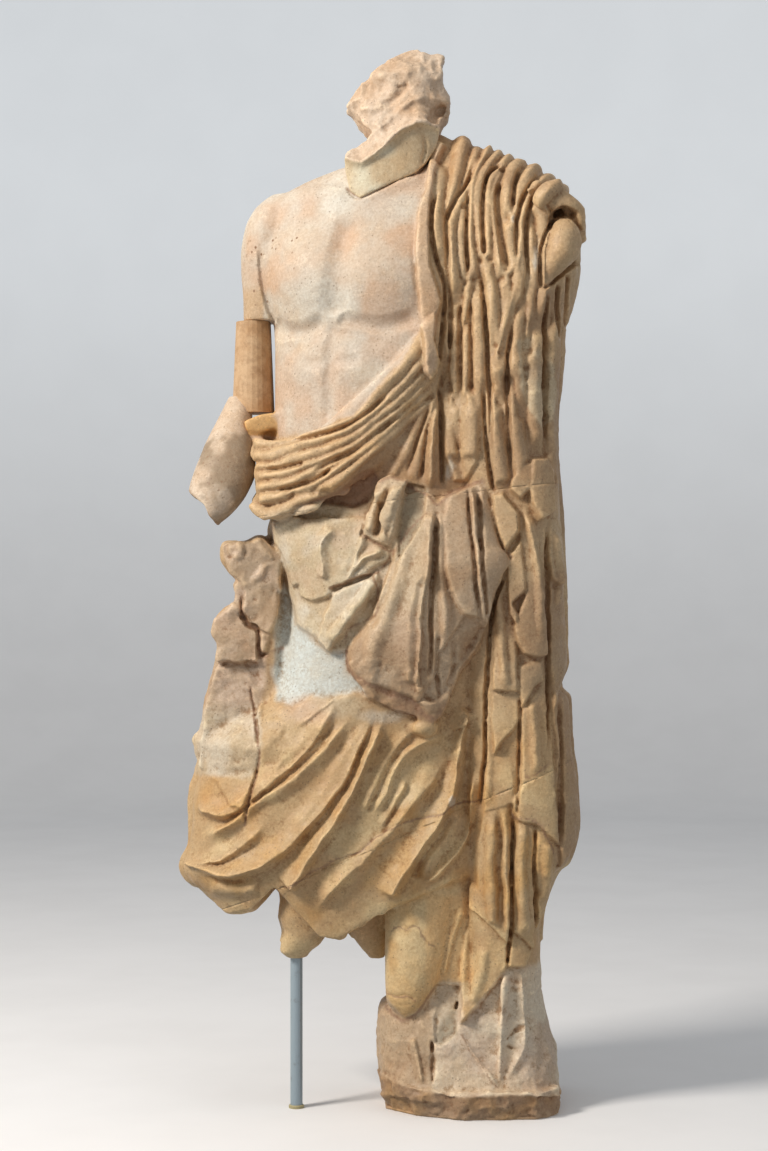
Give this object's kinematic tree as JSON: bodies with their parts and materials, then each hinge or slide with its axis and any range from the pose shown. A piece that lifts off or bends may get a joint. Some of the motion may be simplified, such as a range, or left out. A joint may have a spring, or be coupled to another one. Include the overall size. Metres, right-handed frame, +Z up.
{
  "type": "draped marble statue",
  "caption": "Standing draped marble figure with a broken head, missing arms and a steel rod that props the hem.",
  "frame": {"origin": "middle of the plinth's flat underside", "axes": "+Z up the figure, -Y out of its chest, +X to the figure's left"},
  "size_m": [0.6924, 0.4706, 1.924],
  "materials": {
    "marble": "weathered honey and brown marble",
    "marble_head": "broken, weathered marble",
    "ochre_infill": "matt ochre cast restoration",
    "marble_forearm": "greyish weathered marble",
    "rod_paint": "satin light grey paint",
    "collar": "dull brass"
  },
  "bodies": {
    "root": {"marble_figure": "marble", "neck_and_head_stump": "marble_head", "right_arm_infill": "ochre_infill", "right_forearm": "marble_forearm", "support_rod": "rod_paint", "rod_foot": "collar"}
  },
  "joints": []
}
